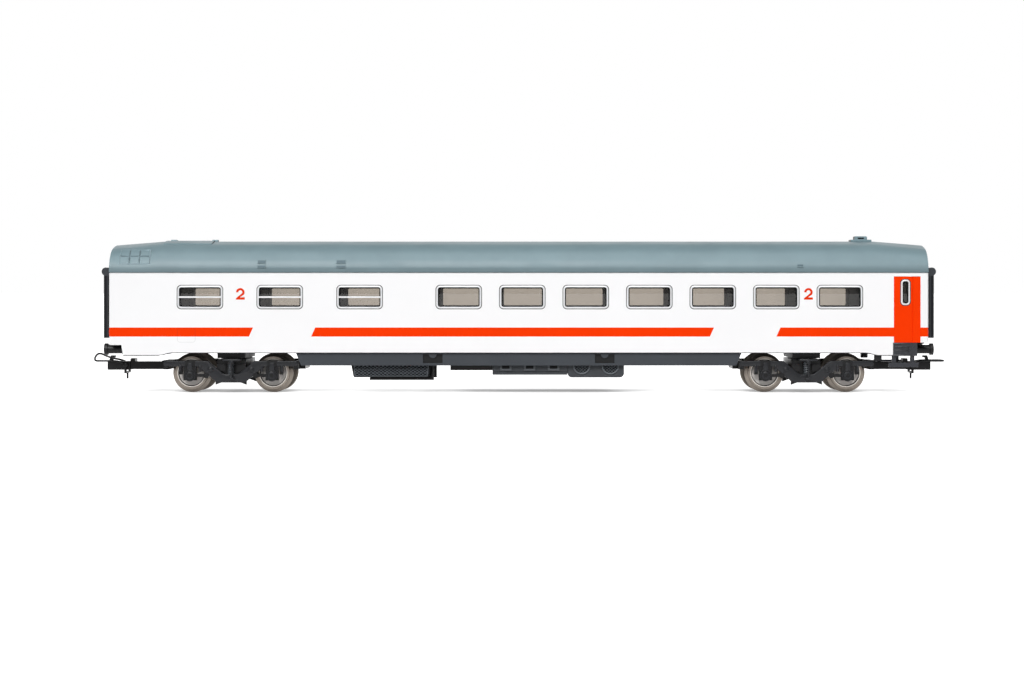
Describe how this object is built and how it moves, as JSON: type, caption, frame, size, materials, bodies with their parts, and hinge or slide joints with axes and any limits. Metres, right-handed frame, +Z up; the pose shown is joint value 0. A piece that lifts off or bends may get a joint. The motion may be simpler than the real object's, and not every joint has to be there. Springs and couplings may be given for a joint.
{
  "type": "model railway coach",
  "caption": "Long white model railway coach with a grey roof, orange stripe, silver-framed tinted windows, swivelling bogies with turning wheelsets and lifting loop couplers.",
  "frame": {"origin": "on the floor under the wheels, at mid length and on the centre line", "axes": "+X along the coach towards the entrance doors, +Y to the far side, +Z up"},
  "size_m": [0.2928, 0.033, 0.0533],
  "materials": {
    "shell_white": "satin paint",
    "roof_grey": "satin paint",
    "frame_silver": "hot-foil silver",
    "glazing_tinted": "clear",
    "underframe_grey": "matt",
    "equipment_grey": "matt",
    "running_gear_black": "satin",
    "gangway_rubber": "matt",
    "wheel_metal": "satin",
    "plain_steel": "bare"
  },
  "bodies": {
    "coach": {"body_shell": "shell_white", "roof": "roof_grey", "roof_ventilator": "roof_grey", "window_frames_near": "frame_silver", "window_frames_far": "frame_silver", "glazing_near": "glazing_tinted", "glazing_far": "glazing_tinted", "door_steps_near": "underframe_grey", "door_steps_far": "underframe_grey", "underframe": "underframe_grey", "ballast_weight": "plain_steel", "battery_box": "equipment_grey", "air_pipe": "running_gear_black", "valve_plate": "running_gear_black", "equipment_box": "equipment_grey", "fan_box": "equipment_grey", "buffers_left": "running_gear_black", "gangway_left": "gangway_rubber", "pivot_pin_left": "plain_steel", "buffers_right": "running_gear_black", "gangway_right": "gangway_rubber", "pivot_pin_right": "plain_steel"},
    "bogie_left": {"bogie_frame_left": "running_gear_black", "bogie_springs_left": "running_gear_black", "coupler_head_left": "running_gear_black"},
    "bogie_right": {"bogie_frame_right": "running_gear_black", "bogie_springs_right": "running_gear_black", "coupler_head_right": "running_gear_black"},
    "wheelset_1": {"axle_1": "plain_steel", "wheels_1": "wheel_metal"},
    "wheelset_2": {"axle_2": "plain_steel", "wheels_2": "wheel_metal"},
    "wheelset_3": {"axle_3": "plain_steel", "wheels_3": "wheel_metal"},
    "wheelset_4": {"axle_4": "plain_steel", "wheels_4": "wheel_metal"},
    "loop_left": {"coupler_loop_left": "running_gear_black"},
    "loop_right": {"coupler_loop_right": "running_gear_black"}
  },
  "joints": [
    {"name": "bogie_left_swivel", "type": "hinge", "parent": "coach", "child": "bogie_left", "pos_m": [-0.0974, 0, 0.0117], "axis": [0, 0, 1], "range_deg": [-15, 15]},
    {"name": "bogie_right_swivel", "type": "hinge", "parent": "coach", "child": "bogie_right", "pos_m": [0.0974, 0, 0.0117], "axis": [0, 0, 1], "range_deg": [-15, 15]},
    {"name": "wheelset_1_spin", "type": "hinge", "parent": "bogie_left", "child": "wheelset_1", "pos_m": [-0.11127, 0, 0.00665], "axis": [0, 1, 0], "continuous": true},
    {"name": "wheelset_2_spin", "type": "hinge", "parent": "bogie_left", "child": "wheelset_2", "pos_m": [-0.08353, 0, 0.00665], "axis": [0, 1, 0], "continuous": true},
    {"name": "wheelset_3_spin", "type": "hinge", "parent": "bogie_right", "child": "wheelset_3", "pos_m": [0.08353, 0, 0.00665], "axis": [0, 1, 0], "continuous": true},
    {"name": "wheelset_4_spin", "type": "hinge", "parent": "bogie_right", "child": "wheelset_4", "pos_m": [0.11127, 0, 0.00665], "axis": [0, 1, 0], "continuous": true},
    {"name": "loop_left_lift", "type": "hinge", "parent": "bogie_left", "child": "loop_left", "pos_m": [-0.135, 0, 0.0091], "axis": [0, 1, 0], "range_deg": [0, 15]},
    {"name": "loop_right_lift", "type": "hinge", "parent": "bogie_right", "child": "loop_right", "pos_m": [0.135, 0, 0.0091], "axis": [0, -1, 0], "range_deg": [0, 15]}
  ]
}
